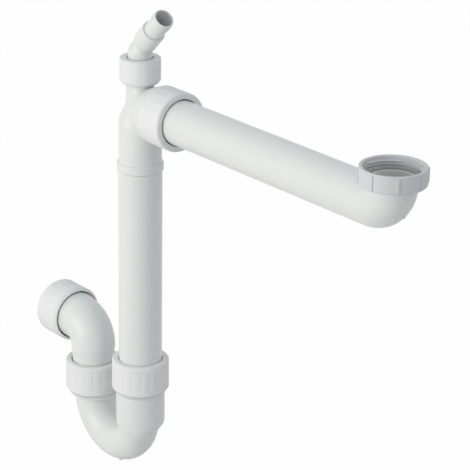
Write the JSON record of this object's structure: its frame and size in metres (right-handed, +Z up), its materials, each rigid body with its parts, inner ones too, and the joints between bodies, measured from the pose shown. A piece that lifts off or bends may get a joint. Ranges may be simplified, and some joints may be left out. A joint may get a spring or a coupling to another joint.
{
  "type": "sink trap",
  "caption": "Space-saving sink trap with a long inlet arm, tee with swivel hose nozzle, riser, adjustable U-bend and elbowed waste outlet.",
  "frame": {"origin": "on the inlet's axis, at the top face of the inlet gasket, where the sink waste sits down on it", "axes": "+Z up along the inlet, +X along the arm from the riser towards the inlet, +Y to the side"},
  "size_m": [0.4798, 0.0556, 0.4599],
  "materials": {
    "pipe_plastic": "smooth moulded, slightly satin",
    "nut_plastic": "smooth moulded, slightly satin",
    "union_plastic": "smooth moulded, slightly satin",
    "seal_rubber": "matt",
    "washer_plastic": "smooth"
  },
  "bodies": {
    "arm": {"inlet_arm": "pipe_plastic", "inlet_gasket": "seal_rubber"},
    "inlet_nut": {"inlet_nut": "union_plastic"},
    "arm_seal": {"arm_cone_seal": "seal_rubber"},
    "tee": {"tee_body": "pipe_plastic", "riser_tube": "pipe_plastic"},
    "arm_washer": {"arm_slip_washer": "washer_plastic"},
    "arm_nut": {"arm_slip_nut": "nut_plastic"},
    "hose_seal": {"hose_gasket": "seal_rubber"},
    "nozzle": {"hose_nozzle": "pipe_plastic"},
    "hose_nut": {"hose_nut": "nut_plastic"},
    "riser_seal": {"riser_cone_seal": "seal_rubber"},
    "trap": {"trap_bend": "pipe_plastic"},
    "riser_washer": {"riser_slip_washer": "washer_plastic"},
    "riser_nut": {"riser_slip_nut": "nut_plastic"},
    "leg_seal": {"leg_cone_seal": "seal_rubber"},
    "outlet": {"outlet_elbow": "pipe_plastic", "outlet_cone_seal": "seal_rubber"},
    "leg_washer": {"leg_slip_washer": "washer_plastic"},
    "leg_nut": {"leg_slip_nut": "nut_plastic"},
    "outlet_washer": {"outlet_slip_washer": "washer_plastic"},
    "outlet_nut": {"outlet_slip_nut": "nut_plastic"}
  },
  "joints": [
    {"name": "inlet_nut_spin", "type": "hinge", "parent": "arm", "child": "inlet_nut", "pos_m": [0, 0, 0], "axis": [0, 0, 1], "continuous": true},
    {"name": "arm_reach", "type": "slide", "parent": "arm", "child": "arm_seal", "axis": [1, 0, 0], "range_m": [-0.013, 0.007]},
    {"name": "arm_turn", "type": "hinge", "parent": "arm_seal", "child": "tee", "pos_m": [-0.2612, 0, -0.0276], "axis": [1, 0, 0], "continuous": true},
    {"name": "arm_nut_travel", "type": "slide", "parent": "tee", "child": "arm_washer", "axis": [1, 0, 0], "range_m": [0, 0.0105]},
    {"name": "arm_nut_turn", "type": "hinge", "parent": "arm_washer", "child": "arm_nut", "pos_m": [-0.2612, 0, -0.0276], "axis": [1, 0, 0], "range_deg": [0, 1080]},
    {"name": "hose_lift", "type": "slide", "parent": "tee", "child": "hose_seal", "axis": [0, 0, 1], "range_m": [0, 0.005]},
    {"name": "hose_swivel", "type": "hinge", "parent": "hose_seal", "child": "nozzle", "pos_m": [-0.32, 0, 0.015], "axis": [0, 0, 1], "continuous": true},
    {"name": "hose_nut_turn", "type": "hinge", "parent": "hose_seal", "child": "hose_nut", "pos_m": [-0.32, 0, 0.0179], "axis": [0, 0, 1], "range_deg": [0, 720]},
    {"name": "trap_height", "type": "slide", "parent": "tee", "child": "riser_seal", "axis": [0, 0, 1], "range_m": [-0.02, 0.0155]},
    {"name": "trap_swivel", "type": "hinge", "parent": "riser_seal", "child": "trap", "pos_m": [-0.32, 0, -0.2722], "axis": [0, 0, 1], "continuous": true},
    {"name": "riser_nut_travel", "type": "slide", "parent": "trap", "child": "riser_washer", "axis": [0, 0, 1], "range_m": [0, 0.0105]},
    {"name": "riser_nut_turn", "type": "hinge", "parent": "riser_washer", "child": "riser_nut", "pos_m": [-0.32, 0, -0.2722], "axis": [0, 0, 1], "range_deg": [0, 1080]},
    {"name": "outlet_swivel", "type": "hinge", "parent": "trap", "child": "leg_seal", "pos_m": [-0.395, 0, -0.3004], "axis": [0, 0, 1], "range_deg": [-120, 120]},
    {"name": "leg_depth", "type": "slide", "parent": "leg_seal", "child": "outlet", "axis": [0, 0, 1], "range_m": [-0.001, 0.008]},
    {"name": "leg_nut_travel", "type": "slide", "parent": "trap", "child": "leg_washer", "axis": [0, 0, 1], "range_m": [0, 0.0105]},
    {"name": "leg_nut_turn", "type": "hinge", "parent": "leg_washer", "child": "leg_nut", "pos_m": [-0.395, 0, -0.3004], "axis": [0, 0, 1], "range_deg": [0, 1080]},
    {"name": "outlet_nut_travel", "type": "slide", "parent": "outlet", "child": "outlet_washer", "axis": [-1, 0, 0], "range_m": [0, 0.0105]},
    {"name": "outlet_nut_turn", "type": "hinge", "parent": "outlet_washer", "child": "outlet_nut", "pos_m": [-0.452, 0, -0.2645], "axis": [-1, 0, 0], "range_deg": [0, 1080]}
  ],
  "couplings": [
    {"joint": "arm_nut_travel", "follows": "arm_nut_turn", "m_per_rad": 0.00055704},
    {"joint": "riser_nut_travel", "follows": "riser_nut_turn", "m_per_rad": 0.00055704},
    {"joint": "leg_nut_travel", "follows": "leg_nut_turn", "m_per_rad": 0.00055704},
    {"joint": "outlet_nut_travel", "follows": "outlet_nut_turn", "m_per_rad": 0.00055704},
    {"joint": "hose_lift", "follows": "hose_nut_turn", "m_per_rad": 0.00039789}
  ]
}
